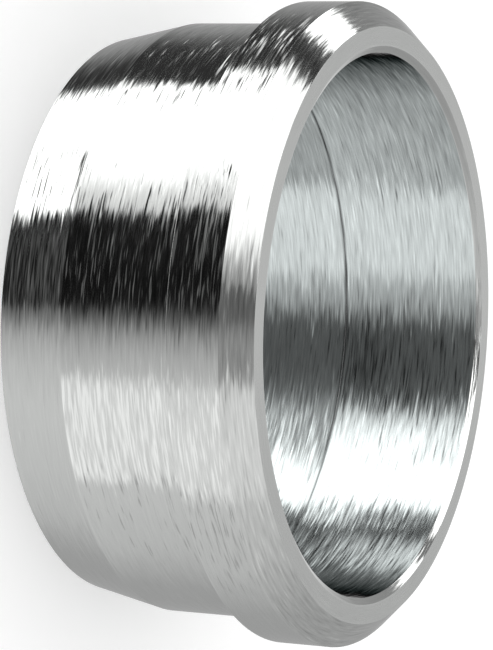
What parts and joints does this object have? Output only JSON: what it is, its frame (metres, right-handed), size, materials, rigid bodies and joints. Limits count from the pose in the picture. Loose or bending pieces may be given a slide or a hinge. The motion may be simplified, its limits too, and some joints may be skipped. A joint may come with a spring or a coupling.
{
  "type": "compression bite ring",
  "caption": "One-piece turned steel bite ring for tube fittings: 24 degree nose cone, plain body, bevelled collar, through bore with two inner cutting edges.",
  "frame": {"origin": "centre of the cutting end, which is the face that the ring stands on", "axes": "+Z along the ring's axis, from the cutting end to the collar"},
  "size_m": [0.0262, 0.0262, 0.0111],
  "materials": {
    "brushed_steel": "bright zinc plated steel, brushed round the axis"
  },
  "bodies": {
    "root": {"bite_ring": "brushed_steel"}
  },
  "joints": []
}
